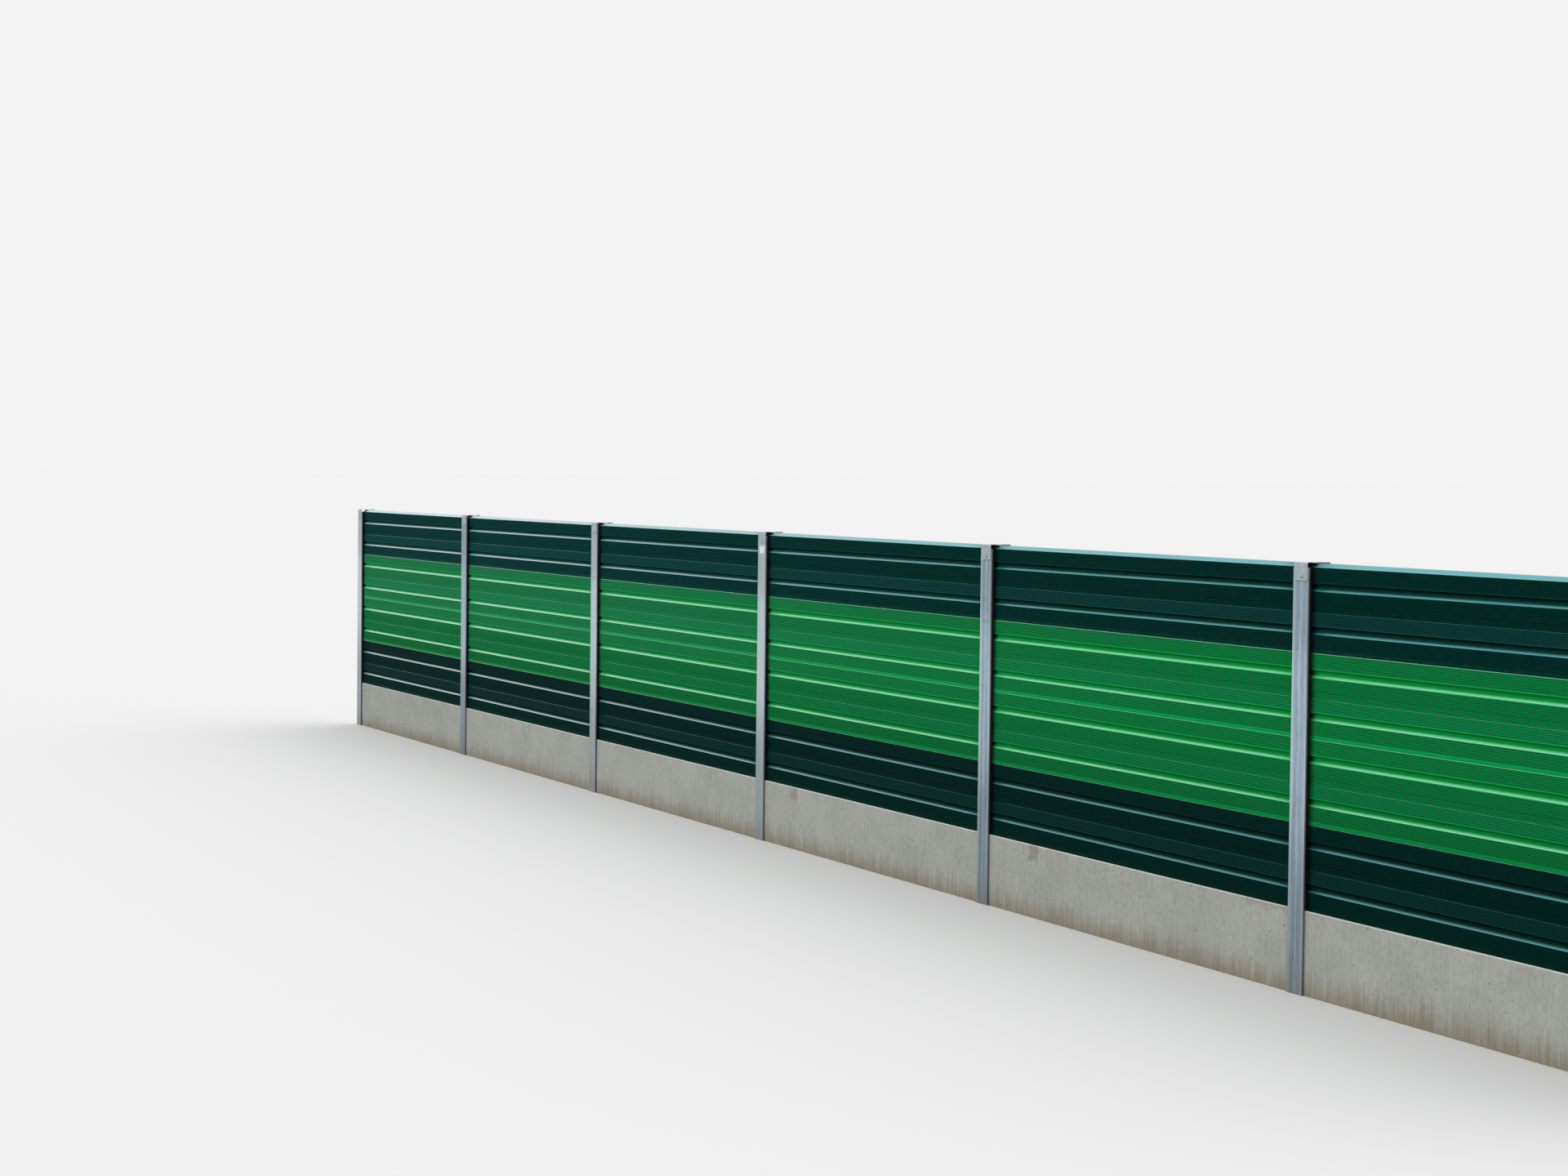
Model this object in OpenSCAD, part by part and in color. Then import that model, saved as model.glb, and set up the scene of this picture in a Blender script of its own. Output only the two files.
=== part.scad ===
// Highway noise barrier: galvanised H-posts at even centres, and in every bay four
// sound-absorbing metal cassettes stacked on a concrete plinth.
// X runs along the wall, the road side faces -Y and Z is up.
// The origin is the middle of the middle post's foot, at ground level.

/* [Row] */
// Number of whole bays in the row
bay_count = 6; // [2:1:6]
// Distance between the centres of neighbouring posts
bay_pitch = 4000; // [2000:50:6000]

/* [Post section] */
// Width of the flanges, along the wall
flange_w = 160; // [140:1:220]
// Depth of the H-section over both flanges
section_d = 152; // [145:1:200]
// Thickness of each flange
flange_t = 9; // [6:0.5:12]
// Thickness of the web
web_t = 6; // [5:0.5:10]
// Radius of the fillets between web and flanges
root_r = 15; // [6:1:18]
// How far the steel ends below the shoulder of the top cassette
post_drop = 7; // [0:1:20]

/* [Post cap] */
// Width of the folded cap, along the wall
cap_w = 140; // [100:1:158]
// Thickness of the cap's sheet
cap_sheet = 3; // [2:0.5:4]
// Overall height of the cap, from its top to the lower edge of its skirts
cap_h = 106; // [80:1:160]
// Outer radius of the cap's two folds
cap_fold_r = 6; // [4:0.5:10]
// How far the lower edges of the skirts flare outwards, to shed water
cap_flare = 5; // [1:0.5:8]
// Height of the flared edge
cap_flare_h = 8; // [4:1:14]
// Clear height between the top cassette's tongue and the cap
cap_clear = 3; // [1:1:10]

/* [Plinth] */
// Height of the concrete plinth above the ground
plinth_h = 495; // [200:5:800]
// Clear gap between the plinth and each flange
plinth_clear = 7; // [2:1:12]
// Size of the chamfer along the plinth's top edges
plinth_chamfer = 6; // [2:1:12]

/* [Cassettes] */
// Height of one cassette, from its lip to its shoulder
cassette_h = 500; // [400:10:600]
// Thickness of a cassette
cassette_t = 100; // [90:1:115]
// Clear gap between the end of a cassette or plinth and the web
end_gap = 12; // [8:1:20]
// Radius along the upper outer edges
shoulder_r = 5; // [2:0.5:8]
// Radius along the lower outer edges
lip_r = 2; // [1:0.5:4]

/* [Tongue and recess] */
// Flat shoulder beside the tongue
shoulder_w = 18; // [12:1:22]
// Height of the tongue, whose sides slope at 45 degrees
tongue_h = 20; // [10:1:22]
// Clearance between a tongue and the recess that it enters
tongue_clear = 3; // [1:0.5:5]

/* [Grooves] */
// Number of pressed grooves in each face of a cassette
groove_count = 2; // [1:1:3]
// Height of a groove's mouth
groove_h = 45; // [34:1:60]
// Depth of a groove
groove_d = 17; // [8:1:22]
// Height of the short side that faces down
groove_roof_h = 9; // [4:1:12]
// Height of the flat floor
groove_floor_h = 14; // [6:1:18]
// How far the grooves sit above an even spacing
groove_raise = 5; // [0:1:15]
// Radius of the bends at the mouth
groove_mouth_r = 3; // [1:0.5:5]
// Radius of the bends at the floor
groove_floor_r = 6; // [2:0.5:9]

/* [Beads] */
// Height of the shallow bead halfway between two grooves
bead_h = 45; // [20:1:80]
// Depth of the bead below the sheet beside it
bead_d = 2; // [1:0.5:4]
// How far the sheet beside the bead leans in towards it
bead_lean = 1.5; // [0:0.5:4]
// Radius of the bead's bends
bead_r = 1; // [0.5:0.5:3]

/* [Seals] */
// Width of an upright seal, along the wall
seal_w = 25; // [15:1:32]
// How far an upright seal stays back from the flange's edge
seal_setback = 5; // [2:1:12]
// Thickness of the flat seal on top of the plinth
base_seal_t = 5; // [2:1:10]
// How far the flat seal stays back from the cassette's faces
base_seal_inset = 5; // [3:1:10]

/* [Hidden] */
row_names = ["bottom", "lower", "upper", "top"];
row_colors = ["#0c3a31", "#178a45", "#178a45", "#0c3a31"];
row_count = len(row_names);
post_count = bay_count + 1;

arc_steps = 3;
post_fn = 48;
channel_d = section_d - 2 * flange_t;
plinth_t = channel_d - 2 * plinth_clear;
piece_l = bay_pitch - web_t - 2 * end_gap;
stack_z = plinth_h + base_seal_t;
shoulder_z = stack_z + row_count * cassette_h;
post_h = shoulder_z - post_drop;
cap_under_z = shoulder_z + tongue_h + cap_clear;
seal_t = (channel_d - cassette_t) / 2;
seal_x = flange_w / 2 - seal_setback - seal_w;
face_y = cassette_t / 2;
tongue_foot_y = face_y - shoulder_w;
tongue_top_y = tongue_foot_y - tongue_h;
recess_foot_y = tongue_foot_y + tongue_clear;
recess_h = tongue_h + tongue_clear;
recess_top_y = recess_foot_y - recess_h;
groove_pitch = cassette_h / groove_count;

// Place along the wall of post number i, counted from the left
function post_x(i) = (i - 1 - floor(bay_count / 2)) * bay_pitch;
// Left end of what stands in bay number bay
function bay_x(bay) = post_x(bay) + web_t / 2 + end_gap;
// Height above a cassette's lip of the lower edge of groove number k, counted upwards
function groove_z(k) = (k - 0.5) * groove_pitch + groove_raise - groove_h / 2;
function unit(v) = v / norm(v);
function turn(a) = a > 180 ? a - 360 : a < -180 ? a + 360 : a;
// Points of the arc of radius r that rounds the corner at b, between a and c
function bend(a, b, c, r) =
    r == 0 ? [b] :
    let (
        u = unit(a - b),
        v = unit(c - b),
        half = acos(u * v) / 2,
        cut = min(r / tan(half), norm(a - b) * 0.45, norm(c - b) * 0.45),
        arc_r = cut * tan(half),
        hub = b + unit(u + v) * arc_r / sin(half),
        from = b + u * cut - hub,
        to = b + v * cut - hub,
        start = atan2(from[1], from[0]),
        sweep = turn(atan2(to[1], to[0]) - start)
    )
    [for (k = [0:arc_steps]) hub + arc_r * [
        cos(start + sweep * k / arc_steps), sin(start + sweep * k / arc_steps)]];
function place(p) = [p[0], p[1]];
// Outline through points given as [y, z, bend radius]
function bent(p) = let (n = len(p)) [
    for (i = [0:n - 1]) each bend(place(p[(i + n - 1) % n]), place(p[i]), place(p[(i + 1) % n]), p[i][2])];
// The same points on the other side, in reverse order
function mirrored(p) = [for (i = [len(p) - 1:-1:0]) [-p[i][0], p[i][1], p[i][2]]];
// The four corners of one groove in the front face, from below
function groove_corners(z) = [
    [-face_y, z, groove_mouth_r],
    [-face_y + groove_d, z + groove_h - groove_roof_h - groove_floor_h, groove_floor_r],
    [-face_y + groove_d, z + groove_h - groove_roof_h, groove_mouth_r],
    [-face_y, z + groove_h, groove_mouth_r]];
// The four corners of the bead above groove number k in the front face, from below
function bead_corners(k) = let (
    low = groove_z(k) + (groove_pitch + groove_h - bead_h) / 2,
    side = -face_y + bead_lean
) [
    [side, low, bead_r], [side + bead_d, low + bead_d, bead_r],
    [side + bead_d, low + bead_h - bead_d, bead_r], [side, low + bead_h, bead_r]];
// Front half of a cassette's section, from the recess up over the face to the tongue
front_half = concat(
    [[-recess_top_y, recess_h, 0], [-recess_foot_y, 0, 0], [-face_y, 0, lip_r]],
    [for (k = [1:groove_count]) each concat(
        groove_corners(groove_z(k)), k < groove_count ? bead_corners(k) : [])],
    [[-face_y, cassette_h, shoulder_r], [-tongue_foot_y, cassette_h, 0],
     [-tongue_top_y, cassette_h + tongue_h, lip_r]]
);
// Outer and inner side, top and lower edge of the folded cap
cap_out_y = section_d / 2 + cap_sheet;
cap_in_y = section_d / 2;
cap_top_z = cap_under_z + cap_sheet;
cap_foot_z = cap_top_z - cap_h;
cap_inner_r = max(cap_fold_r - cap_sheet, 0.5);
// Front half of the cap's section, from the inside of its fold down to the lip and up the outside
cap_half = [
    [-cap_in_y, cap_under_z, cap_inner_r], [-cap_in_y, cap_foot_z + cap_flare_h, cap_inner_r],
    [-cap_in_y - cap_flare, cap_foot_z, 0], [-cap_out_y - cap_flare, cap_foot_z, 0],
    [-cap_out_y, cap_foot_z + cap_flare_h, cap_inner_r], [-cap_out_y, cap_top_z, cap_fold_r]];

// Runs a section drawn in Y and Z along the wall
module along(length) {
    rotate([90, 0, 90]) linear_extrude(length) children();
}

// One side of the H-section's two channels, with round inner corners
module channel() {
    translate([web_t / 2, root_r - channel_d / 2]) square([flange_w, channel_d - 2 * root_r]);
    translate([web_t / 2 + root_r, -channel_d / 2]) square([flange_w, channel_d]);
    for (side = [-1, 1])
        translate([web_t / 2 + root_r, side * (channel_d / 2 - root_r)]) circle(root_r, $fn = post_fn);
}

// Hot-rolled H-post, web across the wall
module post(i) {
    color("#a9b3bb")
    translate([post_x(i), 0, 0])
    linear_extrude(post_h)
    difference() {
        square([flange_w, section_d], center = true);
        channel();
        mirror([1, 0]) channel();
    }
}

// Folded sheet over the post head, open at its two sides
module post_cap(i) {
    color("#b6bbbd")
    translate([post_x(i) - cap_w / 2, 0, 0])
    along(cap_w)
    polygon(bent(concat(cap_half, mirrored(cap_half))));
}

// Precast concrete panel at the foot of a bay
module plinth(bay) {
    color("#a8a59c")
    translate([bay_x(bay), 0, 0])
    along(piece_l)
    polygon([
        [-plinth_t / 2, 0], [plinth_t / 2, 0],
        [plinth_t / 2, plinth_h - plinth_chamfer], [plinth_t / 2 - plinth_chamfer, plinth_h],
        [plinth_chamfer - plinth_t / 2, plinth_h], [-plinth_t / 2, plinth_h - plinth_chamfer]]);
}

// Grooved cassette with a tongue on top and a recess below, the same at front and rear
module cassette(bay, row) {
    color(row_colors[row])
    translate([bay_x(bay), 0, stack_z + row * cassette_h])
    along(piece_l)
    polygon(bent(concat(front_half, mirrored(front_half))));
}

// Upright seals between flanges and cassettes, and the flat seals on the plinths
module seals() {
    color("#1b1c1c") {
        for (i = [1:post_count], end = [-1, 1], face = [-1, 1])
            if (i + (end - 1) / 2 >= 1 && i + (end - 1) / 2 <= bay_count)
                translate([post_x(i) + end * (seal_x + seal_w / 2), face * (face_y + seal_t / 2), stack_z])
                translate([-seal_w / 2, -seal_t / 2, 0])
                cube([seal_w, seal_t, post_h - stack_z]);
        for (bay = [1:bay_count])
            translate([bay_x(bay), base_seal_inset - face_y, plinth_h])
            cube([piece_l, cassette_t - 2 * base_seal_inset, base_seal_t]);
    }
}

for (i = [1:post_count])
    post(i);
for (i = [1:post_count])
    post_cap(i);
for (bay = [1:bay_count])
    plinth(bay);
for (bay = [1:bay_count], row = [0:row_count - 1])
    cassette(bay, row);
seals();
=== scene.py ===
"""Highway noise barrier: finishes, seals, screws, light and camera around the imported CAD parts.

Everything is in metres in the CAD frame: X runs along the wall, its front faces -Y and Z is up.
The origin is the middle of the middle post's foot.
"""
import logging
import math
from collections.abc import Callable, Mapping, Sequence
from dataclasses import dataclass, replace
from enum import Enum

import bmesh
import bpy
from mathutils import Matrix, Vector


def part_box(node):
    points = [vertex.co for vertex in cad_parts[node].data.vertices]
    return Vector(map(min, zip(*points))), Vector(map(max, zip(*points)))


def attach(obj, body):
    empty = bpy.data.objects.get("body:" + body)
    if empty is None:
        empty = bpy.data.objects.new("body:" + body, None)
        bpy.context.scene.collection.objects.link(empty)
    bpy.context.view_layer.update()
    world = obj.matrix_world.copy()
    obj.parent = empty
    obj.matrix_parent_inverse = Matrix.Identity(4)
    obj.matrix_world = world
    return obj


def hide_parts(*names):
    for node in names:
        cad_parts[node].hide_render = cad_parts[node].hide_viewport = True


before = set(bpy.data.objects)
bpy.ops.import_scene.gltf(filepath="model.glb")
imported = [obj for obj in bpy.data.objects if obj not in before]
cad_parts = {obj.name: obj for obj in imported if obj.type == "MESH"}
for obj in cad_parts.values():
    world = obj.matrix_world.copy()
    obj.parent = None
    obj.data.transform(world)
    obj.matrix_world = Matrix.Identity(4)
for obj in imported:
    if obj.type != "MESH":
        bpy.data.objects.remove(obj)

LOG = logging.getLogger("noise_barrier")
ROOT = "root"
Colour = tuple[float, float, float, float]
Span = tuple[float, float]
WHITE = (1.0, 1.0, 1.0, 1.0)
TOLERANCE = 1e-5


class Row(Enum):
    """The four cassettes of a bay, from the ground up."""

    BOTTOM = "bottom"
    LOWER = "lower"
    UPPER = "upper"
    TOP = "top"

    @property
    def is_dark(self) -> bool:
        """Whether the cassette has the dark green coat."""
        return self in (Row.BOTTOM, Row.TOP)


class Side(Enum):
    """The wall's two sides, with the sign of their Y."""

    ROAD = -1
    REAR = 1


class End(Enum):
    """A post's two channels, with the sign of their X."""

    LEFT = -1
    RIGHT = 1


def tint(red: float, green: float, blue: float) -> Colour:
    """Turn an 8-bit sRGB colour into the linear colour that a shader takes.

    Args:
        red: Red, 0 to 255.
        green: Green, 0 to 255.
        blue: Blue, 0 to 255.

    Returns:
        The linear colour with an alpha of 1.
    """
    shares = [value / 255 for value in (red, green, blue)]
    linear = [s / 12.92 if s <= 0.04045 else ((s + 0.055) / 1.055) ** 2.4 for s in shares]
    return (linear[0], linear[1], linear[2], 1.0)


class Field:
    """A number or colour that varies over a surface, with operators that add Math nodes."""

    def __init__(self, tree: "Tree", node: bpy.types.Node, output: int | str) -> None:
        """Wrap one output of a node, where the node has any.

        Args:
            tree: The tree that the node is in.
            node: The node.
            output: Number or name of the output.
        """
        self.tree = tree
        self.node = node
        self.socket = node.outputs[output] if len(node.outputs) else None

    def also(self, output: int | str) -> "Field":
        """Give another output of the same node."""
        return Field(self.tree, self.node, output)

    def _math(self, operation: str, *values: "Field | float") -> "Field":
        """Add one Math node for an operation on these values."""
        return self.tree.add("ShaderNodeMath", {"operation": operation}, dict(enumerate(values)))

    def __add__(self, other: "Field | float") -> "Field":
        """Sum."""
        return self._math("ADD", self, other)

    __radd__ = __add__

    def __sub__(self, other: "Field | float") -> "Field":
        """Difference."""
        return self._math("SUBTRACT", self, other)

    def __rsub__(self, other: "Field | float") -> "Field":
        """Difference with the field on the right."""
        return self._math("SUBTRACT", other, self)

    def __mul__(self, other: "Field | float") -> "Field":
        """Product."""
        return self._math("MULTIPLY", self, other)

    __rmul__ = __mul__

    def __truediv__(self, other: "Field | float") -> "Field":
        """Quotient."""
        return self._math("DIVIDE", self, other)

    def __pow__(self, other: "Field | float") -> "Field":
        """Power."""
        return self._math("POWER", self, other)

    def __neg__(self) -> "Field":
        """The field with its sign turned."""
        return self * -1.0

    def __abs__(self) -> "Field":
        """Size without the sign."""
        return self._math("ABSOLUTE", self)

    def __gt__(self, other: "Field | float") -> "Field":
        """1 where the field is greater, otherwise 0."""
        return self._math("GREATER_THAN", self, other)

    def __lt__(self, other: "Field | float") -> "Field":
        """1 where the field is less, otherwise 0."""
        return self._math("LESS_THAN", self, other)

    def rounded(self) -> "Field":
        """Nearest whole number."""
        return self._math("ROUND", self)

    def floored(self) -> "Field":
        """Whole number below."""
        return self._math("FLOOR", self)

    def root(self) -> "Field":
        """Square root."""
        return self._math("SQRT", self)

    def most(self, other: "Field | float") -> "Field":
        """The greater of two."""
        return self._math("MAXIMUM", self, other)

    def least(self, other: "Field | float") -> "Field":
        """The lesser of two."""
        return self._math("MINIMUM", self, other)

    def rise(self, low: float, high: float) -> "Field":
        """Go smoothly from 0 at one value to 1 at a higher one.

        Args:
            low: Value up to which the result is 0.
            high: Value from which the result is 1.

        Returns:
            The smooth step.
        """
        return self.tree.add(
            "ShaderNodeMapRange",
            {"interpolation_type": "SMOOTHSTEP"},
            {"Value": self, "From Min": low, "From Max": high},
        )

    def fall(self, low: float, high: float) -> "Field":
        """Go smoothly from 1 at one value to 0 at a higher one."""
        return 1.0 - self.rise(low, high)

    def band(self, low: float, high: float, soft: float) -> "Field":
        """Be 1 between two values and 0 outside them, with edges that fade over twice soft."""
        return self.rise(low - soft, low + soft) * self.fall(high - soft, high + soft)

    def near(self, middle: float, reach: float) -> "Field":
        """Be 1 at one value and fade smoothly to 0 at a distance from it."""
        return abs(self - middle).fall(0.0, reach)


class Tree:
    """The node tree of a material or of the world."""

    def __init__(self, owner: bpy.types.Material | bpy.types.World) -> None:
        """Empty the owner's tree and keep it.

        Args:
            owner: The material or world.
        """
        owner.use_nodes = True
        self.owner = owner
        self.nodes = owner.node_tree.nodes
        self.links = owner.node_tree.links
        self.nodes.clear()

    def add(
        self,
        kind: str,
        settings: Mapping[str, object] | None = None,
        inputs: Mapping[int | str, object] | None = None,
        output: int | str = 0,
    ) -> Field:
        """Add a node.

        Args:
            kind: The node's type.
            settings: Its own settings, set before its inputs; "stops" fills a ramp.
            inputs: A value or a Field for each socket, by number or name.
            output: The output that is wanted.

        Returns:
            That output as a Field.
        """
        node = self.nodes.new(kind)
        for key, value in (settings or {}).items():
            if key == "stops":
                self._fill_ramp(node, value)
            else:
                setattr(node, key, value)
        for key, value in (inputs or {}).items():
            if isinstance(value, Field):
                self.links.new(value.socket, node.inputs[key])
            else:
                node.inputs[key].default_value = value
        return Field(self, node, output)

    @staticmethod
    def _fill_ramp(node: bpy.types.Node, stops: Sequence[tuple[float, float]]) -> None:
        """Give a ramp its stops.

        Args:
            node: The ramp.
            stops: Place and grey value of each stop.
        """
        points = node.color_ramp.elements
        while len(points) < len(stops):
            points.new(0.5)
        for point, (place, grey) in zip(points, stops):
            point.position = place
            point.color = (grey, grey, grey, 1.0)

    def mix(self, share: Field | float, first: Field | Colour, second: Field | Colour) -> Field:
        """Blend two colours by the share of the second."""
        return self.add("ShaderNodeMix", {"data_type": "RGBA"}, {0: share, 6: first, 7: second}, 2)

    def shade(self, colour: Field | Colour, factor: Field) -> Field:
        """Lighten or darken a colour by a factor."""
        return self.add("ShaderNodeVectorMath", {"operation": "SCALE"}, {0: colour, 3: factor})


class Surface(Tree):
    """The node tree of one of the wall's materials, on the wall's own coordinates."""

    def __init__(self, name: str) -> None:
        """Make the material, its coordinates and its normal.

        Args:
            name: The material's name.
        """
        super().__init__(bpy.data.materials.new(name))
        self.place = self.add("ShaderNodeTexCoord", output="Object")
        split = self.add("ShaderNodeSeparateXYZ", inputs={"Vector": self.place})
        self.x = split
        self.y = split.also("Y")
        self.z = split.also("Z")
        normal = self.add("ShaderNodeNewGeometry", output="Normal")
        self.along = self.add("ShaderNodeSeparateXYZ", inputs={"Vector": normal})
        self.up = self.along.also("Z")

    def spot(self, waves: Sequence[float], seed: float) -> Field:
        """Count the place in waves a metre along each axis, shifted by a seed."""
        shift = (seed, 0.7 * seed, 1.3 * seed)
        return self.add(
            "ShaderNodeMapping", inputs={"Vector": self.place, "Location": shift, "Scale": waves}
        )

    def noise(self, waves: Sequence[float], detail: float, seed: float) -> Field:
        """Add smooth noise around 0.5, with waves a metre along each axis and finer octaves."""
        spot = self.spot(waves, seed)
        return self.add("ShaderNodeTexNoise", inputs={"Vector": spot, "Scale": 1.0, "Detail": detail})

    def cells(self, waves: Sequence[float], seed: float) -> Field:
        """Add Voronoi cells: the distance from their middles, and also("Color") of each cell."""
        spot = self.spot(waves, seed)
        return self.add("ShaderNodeTexVoronoi", inputs={"Vector": spot, "Scale": 1.0})

    def chance(self, *keys: Field | float) -> Field:
        """Give one random number from 0 to 1 for each set of up to three whole keys."""
        spot = self.add("ShaderNodeCombineXYZ", inputs=dict(enumerate(keys)))
        return self.add("ShaderNodeTexWhiteNoise", inputs={"Vector": spot})

    def finish(self, height: Field, **sockets: object) -> bpy.types.Material:
        """Close the tree with a surface shader and a relief.

        Args:
            height: Height of the relief in metres.
            **sockets: Values or Fields of the shader, with _ for a space in a socket's name.

        Returns:
            The material.
        """
        relief = self.add("ShaderNodeBump", inputs={"Distance": 1.0, "Height": height})
        inputs = {name.replace("_", " "): value for name, value in sockets.items()}
        shader = self.add("ShaderNodeBsdfPrincipled", inputs={**inputs, "Normal": relief})
        self.add("ShaderNodeOutputMaterial", inputs={"Surface": shader})
        return self.owner


@dataclass(frozen=True)
class WallGrid:
    """Where the wall's posts and cassettes stand, read from the CAD nodes."""

    bay_count: int
    bay: float
    first_x: float
    lip_z: float
    row: float
    face_y: float
    top_z: float

    @property
    def bays(self) -> range:
        """Numbers of the bays, from the left."""
        return range(1, self.bay_count + 1)

    @property
    def posts(self) -> range:
        """Numbers of the posts, from the left."""
        return range(1, self.bay_count + 2)

    def post_x(self, number: int) -> float:
        """Say where the middle of a post is along the wall."""
        return self.first_x + (number - 1) * self.bay

    @classmethod
    def from_nodes(cls) -> "WallGrid":
        """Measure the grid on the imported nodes.

        Returns:
            The grid.
        """
        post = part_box("post_1")
        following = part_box("post_2")
        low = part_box("cassette_1_bottom")
        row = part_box("cassette_1_lower")[0][2] - low[0][2]
        return cls(
            bay_count=sum(name.startswith("plinth_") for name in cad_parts),
            bay=following[0][0] - post[0][0],
            first_x=(post[0][0] + post[1][0]) / 2,
            lip_z=low[0][2],
            row=row,
            face_y=low[1][1],
            top_z=low[0][2] + len(Row) * row,
        )


@dataclass(frozen=True)
class Patch:
    """A mark of another colour, between two places along the wall and two heights."""

    left: float
    right: float
    low: float
    high: float
    strength: float
    colour: Colour
    soft: float = 0.006

    def lay(self, surface: Surface, paint: Field, ragged: Field) -> Field:
        """Lay the mark over the front of a finish.

        Args:
            surface: The material.
            paint: The finish's colour so far.
            ragged: Distance by which the mark's edges wander.

        Returns:
            The colour with the mark.
        """
        patch = (surface.x + ragged).band(self.left, self.right, self.soft)
        patch = patch * (surface.z + ragged).band(self.low, self.high, self.soft)
        return surface.mix(patch * (surface.y < 0.0) * self.strength, paint, self.colour)


@dataclass(frozen=True)
class Perforation:
    """Round holes in offset rows, as punched through the front sheet of a cassette."""

    diameter: float = 0.010
    row_pitch: float = 0.012
    hole_pitch: float = 0.01386
    fields: tuple[Span, ...] = ((0.027, 0.099), (0.165, 0.345), (0.417, 0.489))
    post_to_end: float = 0.015
    end_margin: float = 0.020
    front_depth: float = 0.004
    edge: float = 0.0005

    def mask(self, surface: Surface, height: Field, grid: WallGrid) -> Field:
        """Draw the holes as a mask.

        Args:
            surface: The material that they are punched in.
            height: Height above the cassette's lip.
            grid: The wall's grid.

        Returns:
            1 in a hole and 0 beside it.
        """
        first_phase = self.fields[0][0] / self.row_pitch % 1.0
        other_phase = self.fields[1][0] / self.row_pitch % 1.0
        half_row = self.row_pitch / 2
        above_first = height > (self.fields[0][1] + self.fields[1][0]) / 2
        steps = height / self.row_pitch - (first_phase + above_first * (other_phase - first_phase))
        row = steps.rounded()
        across = (steps - row) * self.row_pitch
        places = surface.x / self.hole_pitch + row * 0.5
        along = (places - places.rounded()) * self.hole_pitch
        distance = (across * across + along * along).root()
        hole = distance.fall(self.diameter / 2 - self.edge, self.diameter / 2 + self.edge)
        rows = sum(
            (height > low - half_row) * (height < high + half_row) for low, high in self.fields
        )
        offset = surface.x / grid.bay - (surface.x / grid.bay).floored()
        inside = abs(offset - 0.5) < 0.5 - (self.post_to_end + self.end_margin) / grid.bay
        front = surface.y < -grid.face_y + self.front_depth
        return hole * rows * inside * front


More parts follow.
